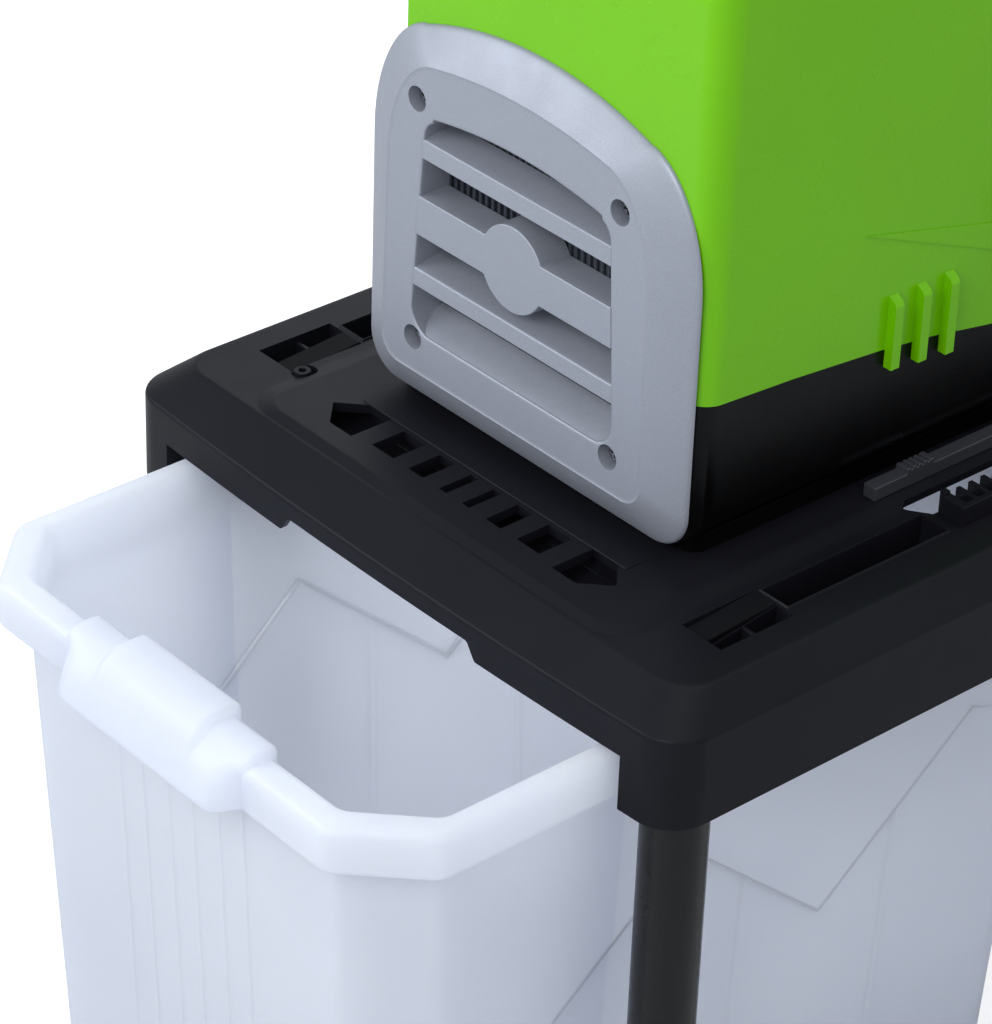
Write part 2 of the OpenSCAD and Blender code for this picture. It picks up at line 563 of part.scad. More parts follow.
// ---------- bin latches ----------
module latch(s) color([0.10, 0.10, 0.12]) place() difference() {
  union() {
    box([161, 178, -2.5], [178, 236, 9]);
    box([161, 178, -2.5], [165, 182, 12]);
  }
  for (y = [184:9:226]) box([158, y, 1], [174.4, y + 6, 12]);
}
module latch_right() latch();
module latch_left() mirror([1, 0, 0]) latch();
module interlock_slider() color([0.08, 0.08, 0.09]) place() difference() {
  union() {
    box([127.6, 157, 0.2], [136, 330, 8]);
    box([127.6, 180, 8], [136, 200, 11]);
  }
  for (y = [183:4:196]) box([120, y, 9.6], [140, y + 1.6, 12]);
}

deck();
bin_rail_left();
bin_rail_right();
leg_front_left();
leg_front_right();
leg_rear_left();
leg_rear_right();
foot_left();
foot_right();
side_tube_left();
side_tube_right();
rear_tube();
axle();
hub_left();
hub_right();
tyre_left();
tyre_right();
wheel_cap_left();
wheel_cap_right();
bin();
lower_shell();
upper_shell();
vent_cover();
cover_screw_1();
cover_screw_2();
cover_screw_3();
cover_screw_4();
fan();
stator();
rotor();
shield_front();
shield_rear();
gearbox_case();
gearbox_cover();
mid_gear();
drum_gear();
drum();
cutter_chamber();
chamber_cover();
pressure_plate();
adjust_nut();
adjust_screw();
adjust_knob();
hopper();
hopper_rim();
guard_flap_left();
guard_flap_right();
console();
start_button();
stop_button();
selector();
power_inlet();
reset_button();
capacitor();
latch_left();
latch_right();
interlock_slider();
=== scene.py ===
import bpy, bmesh, math
from mathutils import Vector, Matrix


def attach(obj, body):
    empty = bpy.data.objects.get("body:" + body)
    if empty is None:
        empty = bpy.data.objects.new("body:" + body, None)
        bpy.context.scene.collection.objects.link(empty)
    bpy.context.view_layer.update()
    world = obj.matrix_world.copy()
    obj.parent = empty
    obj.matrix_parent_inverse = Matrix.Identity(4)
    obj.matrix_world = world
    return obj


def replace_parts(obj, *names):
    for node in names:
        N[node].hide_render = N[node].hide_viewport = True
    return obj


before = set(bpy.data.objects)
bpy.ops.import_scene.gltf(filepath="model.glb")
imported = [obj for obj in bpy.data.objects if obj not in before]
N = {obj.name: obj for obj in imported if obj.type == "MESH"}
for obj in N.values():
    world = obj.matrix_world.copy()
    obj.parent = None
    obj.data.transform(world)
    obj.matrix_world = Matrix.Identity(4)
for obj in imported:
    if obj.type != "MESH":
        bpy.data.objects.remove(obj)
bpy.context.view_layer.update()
OY, OZ = -0.170, 0.480          # the deck's middle and raised top in the row frame


def P(x, y, z):
    """A point given in millimetres from the deck's middle, in the row frame in metres."""
    return (x / 1000.0, y / 1000.0 + OY, z / 1000.0 + OZ)


def lin(c):
    return tuple(((v / 255.0) / 12.92 if v / 255.0 <= 0.04045 else ((v / 255.0 + 0.055) / 1.055) ** 2.4) for v in c)


# ------------------------------------------------------------------ materials
class M:
    def __init__(s, name):
        s.m = bpy.data.materials.new(name)
        s.m.use_nodes = True
        s.t = s.m.node_tree
        s.t.nodes.clear()
        s.out = s.t.nodes.new("ShaderNodeOutputMaterial")
        s.b = s.t.nodes.new("ShaderNodeBsdfPrincipled")
        s.t.links.new(s.b.outputs[0], s.out.inputs[0])
        s.co = s.t.nodes.new("ShaderNodeTexCoord").outputs["Object"]

    def n(s, kind, **kw):
        x = s.t.nodes.new(kind)
        for k, v in kw.items():
            setattr(x, k, v)
        return x

    def link(s, a, b):
        s.t.links.new(a, b)

    def set(s, **kw):
        for k, v in kw.items():
            k = k.replace("_", " ")
            s.b.inputs[k].default_value = v
        return s

    def noise(s, scale, detail=3.0, rough=0.5, stretch=None):
        x = s.n("ShaderNodeTexNoise")
        x.inputs["Scale"].default_value = scale
        x.inputs["Detail"].default_value = detail
        x.inputs["Roughness"].default_value = rough
        if stretch:
            mp = s.n("ShaderNodeMapping")
            mp.inputs["Scale"].default_value = stretch
            s.link(s.co, mp.inputs["Vector"])
            s.link(mp.outputs[0], x.inputs["Vector"])
        else:
            s.link(s.co, x.inputs["Vector"])
        return x.outputs["Fac"]

    def voronoi(s, scale):
        x = s.n("ShaderNodeTexVoronoi")
        x.inputs["Scale"].default_value = scale
        s.link(s.co, x.inputs["Vector"])
        return x

    def ramp(s, fac, lo, hi, a=0.35, b=0.65):
        r = s.n("ShaderNodeMapRange")
        r.inputs["From Min"].default_value = a
        r.inputs["From Max"].default_value = b
        r.inputs["To Min"].default_value = lo
        r.inputs["To Max"].default_value = hi
        s.link(fac, r.inputs["Value"])
        return r.outputs[0]

    def mix(s, fac, a, b):
        x = s.n("ShaderNodeMix", data_type="RGBA")
        if hasattr(fac, "links"):
            s.link(fac, x.inputs["Factor"])
        else:
            x.inputs["Factor"].default_value = fac
        for v, k in ((a, 6), (b, 7)):
            if hasattr(v, "links"):
                s.link(v, x.inputs[k])
            else:
                x.inputs[k].default_value = (*v, 1.0)
        return x.outputs[2]

    def bump(s, height, dist, strength=1.0, normal=None):
        x = s.n("ShaderNodeBump")
        x.inputs["Strength"].default_value = strength
        x.inputs["Distance"].default_value = dist
        s.link(height, x.inputs["Height"])
        if normal is not None:
            s.link(normal, x.inputs["Normal"])
        s.link(x.outputs[0], s.b.inputs["Normal"])
        return x.outputs[0]

    def color(s, sock):
        s.link(sock, s.b.inputs["Base Color"])

    def rough(s, sock):
        s.link(sock, s.b.inputs["Roughness"])


def plastic(name, c, rough, grain=0.00002, gscale=1400, var=0.08, spec=0.5, scuff=0.04):
    """Moulded plastic: fine grain, slow colour drift and polish that varies a little."""
    m = M(name)
    c = lin(c)
    m.color(m.mix(m.ramp(m.noise(9, 4), 0, 1), tuple(v * (1 - var) for v in c), tuple(min(1, v * (1 + var)) for v in c)))
    m.rough(m.ramp(m.noise(38, 6, 0.6), rough - scuff, rough + scuff))
    m.set(Specular_IOR_Level=spec)
    m.bump(m.noise(gscale, 2), grain)
    return m


def metal(name, c, rough, stretch=(1, 1, 1), scale=300, bump=0.00002):
    m = M(name)
    c = lin(c)
    f = m.noise(scale, 5, 0.6, stretch)
    m.color(m.mix(m.ramp(f, 0, 1), tuple(v * 0.88 for v in c), c))
    m.rough(m.ramp(f, rough - 0.08, rough + 0.08))
    m.set(Metallic=1.0)
    m.bump(f, bump)
    return m


MAT = {}
MAT["deck"] = plastic("deck_black", (21, 21, 26), 0.40, 0.00003, 900, 0.10, 0.09, 0.02)
MAT["shell_black"] = plastic("shell_black", (3, 3, 4), 0.30, 0.00001, 900, 0.10, 0.16, 0.03)
MAT["black"] = plastic("trim_black", (24, 24, 27), 0.42, 0.00004, 1100, 0.10)
MAT["green"] = plastic("housing_green", (104, 176, 0), 0.26, 0.000006, 500, 0.02, 0.26, 0.03)
MAT["tab"] = plastic("tab_black", (16, 16, 19), 0.62, 0.00004, 800, 0.12, 0.06, 0.0)
MAT["slider"] = plastic("slider_grey", (52, 52, 57), 0.34, 0.00002, 800, 0.08, 0.6, 0.04)
MAT["screen"] = plastic("screen_grey", (58, 62, 69), 0.62, 0.00004, 700, 0.12, 0.12, 0.0)
MAT["rubber"] = plastic("rubber", (26, 26, 26), 0.75, 0.00010, 700, 0.15, 0.35, 0.08)
MAT["start"] = plastic("start_green", (24, 130, 50), 0.28, 0.00001, 500, 0.04)
MAT["stop"] = plastic("stop_red", (190, 22, 20), 0.28, 0.00001, 500, 0.04)

m = M("silver_paint")        # silver paint: metal flakes under a satin lacquer
c1, c2 = lin((130, 134, 144)), lin((150, 153, 163))
fl = m.voronoi(2600)
m.color(m.mix(m.ramp(fl.outputs["Distance"], 0, 1, 0.1, 0.6), c1, c2))
m.rough(m.ramp(m.noise(60, 5), 0.42, 0.49))
m.set(Metallic=0.32, Specular_IOR_Level=0.28)
m.bump(m.noise(700, 3), 0.00002)
MAT["silver"] = m

m = M("bin_milky")           # milky polypropylene: light goes in and comes out softened
base = m.mix(m.ramp(m.noise(5, 2), 0, 1), lin((241, 243, 249)), lin((245, 247, 252)))
sep = m.n("ShaderNodeSeparateXYZ"); m.link(m.co, sep.inputs[0])


def times(m, a, b, op="MULTIPLY"):
    x = m.n("ShaderNodeMath", operation=op); m.link(a, x.inputs[0])
    if b is not None:
        m.link(b, x.inputs[1])
    return x.outputs[0]


# painted shade: a soft bluish darker band on the side walls just behind the front rim, where the front legs' shadow
# falls through the milky wall
ax = times(m, sep.outputs["X"], None, "ABSOLUTE")
painted_leg_shade = times(m, m.ramp(sep.outputs["Y"], 0, 1, OY - 0.094, OY - 0.036), m.ramp(sep.outputs["Y"], 1, 0, OY - 0.034, OY - 0.032))
painted_leg_shade = times(m, painted_leg_shade, m.ramp(ax, 0, 1, 0.128, 0.138))
painted_leg_shade = times(m, painted_leg_shade, m.ramp(sep.outputs["Z"], 1, 0, 0.395, 0.418))
# painted shade colour: inside the band the milky white is pulled towards this darker blue-grey
base = m.mix(times(m, painted_leg_shade, painted_leg_shade), base, lin((235, 238, 246)))
m.color(base)
m.rough(m.ramp(m.noise(12, 2), 0.28, 0.36, 0.2, 0.8))
m.set(Subsurface_Weight=0.25, Subsurface_Radius=(0.02, 0.022, 0.028), Subsurface_Scale=0.25)
tr = m.n("ShaderNodeBsdfTranslucent")
m.link(base, tr.inputs["Color"])
mx = m.n("ShaderNodeMixShader")
mx.inputs[0].default_value = 0.65
m.link(m.b.outputs[0], mx.inputs[1])
m.link(tr.outputs[0], mx.inputs[2])
m.link(mx.outputs[0], m.out.inputs[0])
m.bump(m.noise(700, 2), 0.000008)
MAT["milky"] = m

m = M("leg_enamel")          # gloss stoved enamel on tube, with slight orange peel
m.color(m.mix(m.ramp(m.noise(14, 3), 0, 1), lin((8, 8, 9)), lin((13, 13, 14))))
m.rough(m.ramp(m.noise(70, 4), 0.24, 0.34))
m.set(Specular_IOR_Level=0.22, Coat_Weight=0.08, Coat_Roughness=0.2)
m.bump(m.noise(420, 2), 0.00003)
MAT["enamel"] = m

m = M("tyre_rubber")
m.color(m.mix(m.ramp(m.noise(60, 6), 0, 1), lin((24, 24, 25)), lin((38, 37, 36))))
m.rough(m.ramp(m.noise(90, 5), 0.72, 0.9))
m.bump(m.noise(600, 4), 0.00015)
MAT["tyre"] = m

MAT["steel"] = metal("steel", (176, 178, 184), 0.32, (1, 12, 1), 260)
MAT["screw"] = metal("screw_steel", (120, 122, 128), 0.36, (1, 1, 1), 900)
MAT["cast"] = metal("cutter_steel", (118, 118, 124), 0.45, (1, 1, 1), 420, 0.00008)
MAT["alu"] = metal("die_cast", (182, 184, 188), 0.46, (1, 1, 1), 520, 0.00008)
MAT["brass"] = metal("brass", (196, 158, 84), 0.28, (9, 1, 1), 240)
MAT["copper"] = metal("stator_steel", (128, 118, 112), 0.40, (1, 14, 1), 300)

NODE_MAT = {
    "deck": "deck", "lower_shell": "shell_black", "upper_shell": "green", "hopper_rim": "green",
    "vent_cover": "silver", "bin": "milky", "hopper": "black", "console": "black",
    "start_button": "start", "stop_button": "stop", "reset_button": "stop", "selector": "black",
    "fan": "black", "stator": "copper", "drum": "cast", "pressure_plate": "steel",
    "adjust_nut": "brass", "adjust_knob": "black", "power_inlet": "black",
    "latch_left": "deck", "latch_right": "deck", "interlock_slider": "slider", "capacitor": "alu",
    "gearbox_case": "alu", "gearbox_cover": "alu", "cutter_chamber": "alu", "chamber_cover": "alu",
    "shield_front": "alu", "shield_rear": "alu", "bin_rail_left": "enamel", "bin_rail_right": "enamel",
}
for n in N:
    if n.startswith(("leg_", "side_tube", "rear_tube")):
        NODE_MAT[n] = "enamel"
    elif n.startswith(("foot_", "guard_flap")):
        NODE_MAT[n] = "rubber"
    elif n.startswith("tyre"):
        NODE_MAT[n] = "tyre"
    elif n.startswith(("hub_", "wheel_cap")):
        NODE_MAT[n] = "black"
    elif n.startswith("cover_screw"):
        NODE_MAT[n] = "screw"
    NODE_MAT.setdefault(n, "steel")

BEV = {"deck": 1.0, "upper_shell": 1.2, "lower_shell": 1.0, "hopper": 1.0, "bin": 1.5, "hopper_rim": 1.5,
       "console": 0.8, "adjust_knob": 0.8, "foot_left": 0.8, "foot_right": 0.8}


def refine(o, width, angle=32):
    w = o.modifiers.new("weld", "WELD"); w.merge_threshold = 2e-5
    d = o.modifiers.new("flat", "DECIMATE"); d.decimate_type = "DISSOLVE"; d.angle_limit = math.radians(0.6)
    b = o.modifiers.new("edge", "BEVEL"); b.width = width / 1000.0; b.segments = 3
    b.limit_method = "ANGLE"; b.angle_limit = math.radians(angle); b.harden_normals = True
    b.use_clamp_overlap = True; b.miter_outer = "MITER_ARC"
    o.modifiers.new("wn", "WEIGHTED_NORMAL").keep_sharp = True


OWN = ("deck", "bin", "vent_cover")          # rebuilt further down
for n, o in N.items():
    o.data.materials.clear()
    o.data.materials.append(MAT[NODE_MAT[n]].m)
    if n not in OWN:
        refine(o, BEV.get(n, 0.5))


# ------------------------------------------------------------------ mesh helpers
def new_mesh(name, verts, faces, mat, smooth=True):
    me = bpy.data.meshes.new(name)
    me.from_pydata([tuple(v) for v in verts], [], faces)
    me.validate()
    o = bpy.data.objects.new(name, me)
    bpy.context.scene.collection.objects.link(o)
    me.materials.append(MAT[mat].m if isinstance(mat, str) else mat)
    for p in me.polygons:
        p.use_smooth = smooth
    return o


def tidy(o):
    bm = bmesh.new(); bm.from_mesh(o.data)
    bmesh.ops.remove_doubles(bm, verts=bm.verts, dist=1e-6)
    bmesh.ops.recalc_face_normals(bm, faces=bm.faces)
    bm.to_mesh(o.data); bm.free()
    return o


def loft(name, rings, mat, close=False, cap0=False, cap1=False):
    """Joins closed rings of equal length into one surface."""
    n = len(rings[0]); v = [p for r in rings for p in r]; f = []
    k = len(rings)
    for i in range(k if close else k - 1):
        a, b = i * n, ((i + 1) % k) * n
        for j in range(n):
            f.append((a + j, a + (j + 1) % n, b + (j + 1) % n, b + j))
    if cap0: f.append(tuple(range(n - 1, -1, -1)))
    if cap1: f.append(tuple(range((k - 1) * n, k * n)))
    return tidy(new_mesh(name, v, f, mat))


def cut(o, *cutters, op="DIFFERENCE", solver="EXACT"):
    """Applies booleans and drops the cutters."""
    for c in cutters:
        b = o.modifiers.new("cut", "BOOLEAN"); b.operation = op; b.solver = solver; b.object = c
        if solver == "EXACT":
            b.use_hole_tolerant = True
    dg = bpy.context.evaluated_depsgraph_get()
    me = bpy.data.meshes.new_from_object(o.evaluated_get(dg))
    o.modifiers.clear(); o.data = me
    for c in cutters:
        bpy.data.objects.remove(c)
    return o


def finish_piece(o, bev=0.8, seg=3, angle=30):
    if bev:
        b = o.modifiers.new("edge", "BEVEL"); b.width = bev / 1000.0; b.segments = seg
        b.limit_method = "ANGLE"; b.angle_limit = math.radians(angle); b.harden_normals = True
        b.miter_outer = "MITER_ARC"
    o.modifiers.new("wn", "WEIGHTED_NORMAL").keep_sharp = True
    return o


def prism(name, pts, y0, y1, mat, axis="y"):
    """A closed outline drawn in X,Z (axis y), Y,Z (axis x) or X,Y (axis z), given a thickness."""
    def at(a, b, h):
        return P(a, h, b) if axis == "y" else (P(h, a, b) if axis == "x" else P(a, b, h))
    n = len(pts)
    v = [at(a, b, y0) for a, b in pts] + [at(a, b, y1) for a, b in pts]
    f = [tuple(range(n)), tuple(range(2 * n - 1, n - 1, -1))] + [(i, (i + 1) % n, n + (i + 1) % n, n + i) for i in range(n)]
    return tidy(new_mesh(name, v, f, mat))


def arc(cx, cy, r, a0, a1, n):
    return [(cx + r * math.cos(math.radians(a0 + (a1 - a0) * i / n)), cy + r * math.sin(math.radians(a0 + (a1 - a0) * i / n))) for i in range(n + 1)]


def mirror_close(p):
    """Right half of an outline, from the bottom middle to the top middle, made whole."""
    return p + [(-x, z) for x, z in reversed(p) if abs(x) > 1e-6]


# ------------------------------------------------------------------ vent cover
def lerp(a, b, n):
    return [(a[0] + (b[0] - a[0]) * i / n, a[1] + (b[1] - a[1]) * i / n) for i in range(n)]


def half_outline(zb, cr, cxr, side_x, side_z0, side_z1, side_x1, ell, arch, counts=(18, 12, 18, 26, 22)):
    """Bottom middle, bottom corner, side, shoulder, arched top: the same number of points whatever the sizes."""
    nb, nc, ns, ne, na = counts
    cz = zb + cr
    p = lerp((0, zb), (cxr, zb), nb) + arc(cxr, cz, cr, -90, 0, nc)[:-1]
    p += lerp((cxr + cr, cz), (side_x1, side_z1), ns)
    ex, ez, a, b, t1 = ell
    sh = [(ex + a * math.cos(math.radians(t1 * i / ne)), ez + b * math.sin(math.radians(t1 * i / ne))) for i in range(ne)]
    p += sh
    x0 = ex + a * math.cos(math.radians(t1)); top, R = arch
    p += [(x0 * (1 - i / na), top - R + math.sqrt(R * R - (x0 * (1 - i / na)) ** 2)) for i in range(na + 1)]
    return p


VO = mirror_close(half_outline(8, 22.6, 101, 123.6, 30.6, 150, 123.6, (77, 150, 46.6, 73, 82), (236.7, 242.8)))
VI = mirror_close(half_outline(29, 13, 87.5, 100.5, 42, 146, 98.5, (62, 146, 36.5, 62, 80), (214.5, 330)))
VW = mirror_close(half_outline(52.8, 14, 63.5, 77.5, 66.8, 166, 70.6, (61, 166, 9.6, 11.5, 74), (185.4, 330)))


def ring(a, b, s, y):
    return [P(p[0] * (1 - s) + q[0] * s, y, p[1] * (1 - s) + q[1] * s) for p, q in zip(a, b)]


rings = [ring(VO, VI, 0.10, 36.0)]
for s, y in ((0.0, 36.0), (0.0, 35.6), (0.006, 34.9), (0.025, 34.2), (0.06, 33.5), (0.12, 32.6), (0.3, 30.3), (0.5, 27.9),
             (0.7, 25.7), (0.85, 24.15), (0.94, 23.35), (0.975, 23.0), (0.99, 22.9), (1.0, 23.0)):
    rings.append(ring(VO, VI, s, y))
for s, y in ((0.03, 23.25), (0.08, 23.3), (0.3, 23.3), (0.6, 23.3), (0.9, 23.3), (0.955, 23.32), (0.985, 23.55), (1.0, 24.1), (1.0, 26.0), (1.0, 31.0), (1.0, 36.0)):
    rings.append(ring(VI, VW, s, y))
cover = loft("cover_shell", rings, "silver", close=True)
holes = []
for i, (x, z) in enumerate(((76.4, 186.5), (-76.4, 186.5), (76, 48.5), (-76, 48.5))):
    holes.append(prism(f"h{i}", [(x + a, z + b) for a, b in arc(0, 0, 6.9, 0, 352.5, 47)], 10, 31.5, "silver"))
    holes.append(prism(f"g{i}", [(x + a, z + b) for a, b in arc(0, 0, 2.6, 0, 345, 23)], 30, 60, "silver"))
cut(cover, *holes)
finish_piece(cover, 0.7, 3, 40)
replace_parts(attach(cover, "frame") or cover, "vent_cover")


def louvre(name, z0, z1, y0=23.4):
    """One louvre bar, its top face falling a little towards the front."""
    pts = [(y0, z0), (y0, z1 - 0.6), (y0 + 0.6, z1), (43.2, z1 + 3.4), (43.2, z1 - 0.6), (y0 + 5, z0 + 1.5)]
    hw = 78.5
    v, f = [], []
    for x in (-hw, hw):
        v += [P(x, a, b) for a, b in pts]
    n = len(pts)
    f = [tuple(range(n)), tuple(range(2 * n - 1, n - 1, -1))] + [(i, (i + 1) % n, n + (i + 1) % n, n + i) for i in range(n)]
    o = tidy(new_mesh(name, v, f, "silver"))
    return o


def clip_to_window(o):
    w = prism("wclip", [(x * 1.006, (z - 120) * 1.004 + 120) for x, z in VW], 10, 50, "silver")
    return cut(o, w, op="INTERSECT")


pieces = []
for nm, z0, z1 in (("cover_bar_top", 155.0, 165.6), ("cover_bar_low", 79.6, 90.2)):
    o = clip_to_window(louvre(nm, z0, z1)); finish_piece(o, 0.5, 2, 30); pieces.append(o)
# middle bar and disc in one piece
R = 24.0
zc, zt, zb = 121.6, 132.8, 110.2
xt = math.sqrt(R * R - (zt - zc) ** 2)
xb = math.sqrt(R * R - (zc - zb) ** 2)
a_t = math.degrees(math.atan2(zt - zc, xt)); a_b = math.degrees(math.atan2(zb - zc, xb))
out = [(79, zb), (79, zt)] + arc(0, zc, R, a_t, 180 - a_t, 28) + [(-79, zt), (-79, zb)] + arc(0, zc, R, 180 - a_b, 360 + a_b, 28)
o = clip_to_window(prism("cover_bar_mid", out, 22.9, 43.2, "silver"))
finish_piece(o, 0.5, 2, 30); pieces.append(o)
for o in pieces:
    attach(o, "frame")


# fine black screen behind the louvres
fins = []
for i in range(-16, 17):
    x = i * 4.9
    fins.append(prism("fin", [(x - 0.7, 47), (x + 0.7, 47), (x + 0.7, 192), (x - 0.7, 192)], 43.4, 45.8, "black"))
for z0, z1 in ((45, 49), (104, 107), (146, 149), (189, 193)):
    fins.append(prism("fin", [(-82, z0), (82, z0), (82, z1), (-82, z1)], 43.3, 45.4, "black"))
for x0, x1 in ((-84, -79), (79, 84)):
    fins.append(prism("fin", [(x0, 45), (x1, 45), (x1, 193), (x0, 193)], 43.3, 45.8, "black"))


def join(name, objs):
    bm = bmesh.new()
    for ob in objs:
        bm.from_mesh(ob.data)
        bpy.data.objects.remove(ob)
    me = bpy.data.meshes.new(name); bm.to_mesh(me); bm.free()
    o = bpy.data.objects.new(name, me); bpy.context.scene.collection.objects.link(o)
    return o


duct = loft("cover_duct", [[P(x * k, y, (z - 120) * k + 120) for x, z in VW] for k, y in ((1.0, 35.9), (1.022, 35.9), (1.022, 43.2), (1.0, 43.2))], "silver", close=True)
finish_piece(duct, 0.2, 1, 30)
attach(duct, "frame")
fins.append(prism("fin", [(-84, 45), (84, 45), (84, 193), (-84, 193)], 45.5, 45.9, "black"))
sill = prism("cover_sill", [(24.2, 52.9), (43.2, 62.5), (43.2, 50.5), (36, 50.5), (36, 52.2)], -76, 76, "silver", "x")
clip_to_window(sill); finish_piece(sill, 0.3, 2, 30)
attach(sill, "frame")
scr = join("inlet_screen", fins); scr.data.materials.append(MAT["screen"].m)
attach(scr, "frame")

# ------------------------------------------------------------------ collecting bin
BY, BZ, BL, BH = -203.0, -43.0, 505.0, 375.0
FX = [0, 4, 8.2, 9.0, 11.0, 11.8, 21, 30.2, 31.0, 33.0, 33.8, 42, 50.2, 51.0, 53.0, 53.8, 66, 80, 94]
FRIB = {9.0, 11.0, 31.0, 33.0, 51.0, 53.0}
SY = [74, 84, 96, 107.5, 118, 130, 145, 160, 175, 190, 203, 215, 228, 243, 256, 262.4, 263.4, 267.4, 268.4, 280, 295, 309, 322.5, 335, 350, 364,
      374.4, 375.4, 379.4, 380.4, 395, 410, 426, 440]
SRIB = {263.4, 267.4, 375.4, 379.4}


def bin_half(d):
    """Right half of the bin's outline at an inset, front middle to rear middle: x, y, outward direction, rib, crease height, crease weight."""
    kind = int(d // 1000); d -= 1000 * kind          # 0 rim, 1 inside, 2 outside wall
    fx, sx = ((0, 0), (4.2, 0.4), (5.2, 2.2))[kind]
    a, f, b, c = 175 - d - sx, d + fx, BL - 0.5 * d - sx, 40 - 0.4 * d
    q = [(x, f, (0, -1), x in FRIB, -34.0, 0.0) for x in FX]
    A, B = (a - c, f), (a, f + c)
    k = 5.5 / math.sqrt(2)
    for p0, p1, p2 in (((A[0] - 5.5, f), A, (A[0] + k, A[1] + k)), ((B[0] - k, B[1] - k), B, (a, B[1] + 5.5))):
        for i in range(7):
            t = i / 6
            x = (1 - t) ** 2 * p0[0] + 2 * t * (1 - t) * p1[0] + t * t * p2[0]
            y = (1 - t) ** 2 * p0[1] + 2 * t * (1 - t) * p1[1] + t * t * p2[1]
            side = p1 is B
            q.append((x, y, (0.7, -0.7), False, -120.0 if side else -60.0, 0.0))
    for y in SY:
        t = ((y - 0.0) / 107.5) % 2.0
        zz = -97.0 - 94.5 * (t if t < 1 else 2 - t)
        q.append((a, y, (1, 0), y in SRIB, zz, 1.0 if 80 < y < 438 else 0.0))
    r = 24.0
    for i in range(9):
        t = math.radians(90 * i / 8)
        q.append((a - r + r * math.cos(t), b - r + r * math.sin(t), (math.cos(t), math.sin(t)), False, -104.0, 0.0))
    for i in range(1, 7):
        q.append(((a - r) * (1 - i / 6), b, (0, 1), False, -104.0, 0.0))
    return q


NB = len(bin_half(10))
_cache = {}


def bin_at(d, j):
    key = round(d, 3)
    if key not in _cache:
        _cache[key] = bin_half(key)
    return _cache[key][j]


def bin_ring(zf, df, step=0.0, rib=0.0):
    """A closed ring; zf(zz) gives the height from the column's crease height, df(z) the inset at a height."""
    right = []
    for j in range(NB):
        zz = bin_at(10, j)[4]
        z = zf(zz)
        x, y, n, isrib, _, wgt = bin_at(df(z), j)
        o = -step * wgt + (rib if isrib else 0.0)
        right.append((x + n[0] * o, y + n[1] * o, z))
    left = [(-x, y, z) for x, y, z in reversed(right) if x > 1e-6]
    return [P(x, y + BY, z + BZ) for x, y, z in right + left]


const = lambda v: (lambda *_: v)
inner = lambda z: 1014.6 + 12.4 * min(1, max(0, (-8 - z) / 347.0))
outer = lambda z: 2009.3 + 14.7 * min(1, max(0, (-27 - z) / 334.0))
R = []
for d, z in ((1044, -BH + 3), (1035, -BH + 3), (1032, -BH + 4.5), (1029.4, -BH + 8.5), (1027.8, -BH + 14)):
    R.append(bin_ring(const(z), const(d)))
R.append(bin_ring(const(-355.0), inner, 2.4, 0.75))
for k in (4, 3, 2, 1):
    R.append(bin_ring(lambda zz, k=k: zz - 1.4 + (-355 - zz + 1.4) * k / 5, inner, 2.4, 0.75))
R.append(bin_ring(lambda zz: zz - 1.4, inner, 2.4, 0.75))
R.append(bin_ring(lambda zz: zz - 0.5, inner, 0.2, 0.4))
R.append(bin_ring(lambda zz: zz + 0.5, inner, -1.0, 0.0))
R.append(bin_ring(lambda zz: zz + 1.4, inner))
R.append(bin_ring(lambda zz: (zz - 8) / 2, inner))
for d, z in ((1014.5, -8), (1014.1, -5), (1013.4, -2.7), (1012.2, -1.1), (1010.6, -0.25), (1008.9, 0), (5.8, 0), (4.1, -0.35), (2.6, -1.25), (1.35, -2.7), (0.5, -4.6), (0.08, -7),
             (0, -10), (0, -22.7), (0.15, -24.5), (0.7, -26.0), (1.7, -26.8), (3.2, -27.0), (2006.6, -27.0), (2008.6, -27.4), (2009.3, -29)):
    R.append(bin_ring(const(z), const(d)))
R.append(bin_ring(lambda zz: (zz - 29) / 2, outer))
R.append(bin_ring(lambda zz: zz + 1.4, outer))
R.append(bin_ring(lambda zz: zz + 0.5, outer, -1.2, 0.0))
R.append(bin_ring(lambda zz: zz - 0.5, outer, 0.2, 0.5))
R.append(bin_ring(lambda zz: zz - 1.4, outer, 2.4, 0.75))
for k in (1, 2, 3, 4):
    R.append(bin_ring(lambda zz, k=k: zz - 1.4 + (-361 - zz + 1.4) * k / 5, outer, 2.4, 0.75))
R.append(bin_ring(const(-361.0), outer, 2.4, 0.75))
for d, z, s_ in ((2024.8, -365.5, 1.2), (2026.6, -369.8, 0.6), (2029.8, -373.2, 0.2), (2034, -BH, 0), (2044, -BH, 0)):
    R.append(bin_ring(const(z), const(d), s_, s_ * 0.35))
tub = loft("bin_tub", R, "milky", cap0=True, cap1=True)
tub.modifiers.new("wn", "WEIGHTED_NORMAL")
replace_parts(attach(tub, "bin") or tub, "bin")

# grip: a smooth body swept across the rim, rising in two steps
def smooth(t):
    t = min(1, max(0, t)); return t * t * (3 - 2 * t)


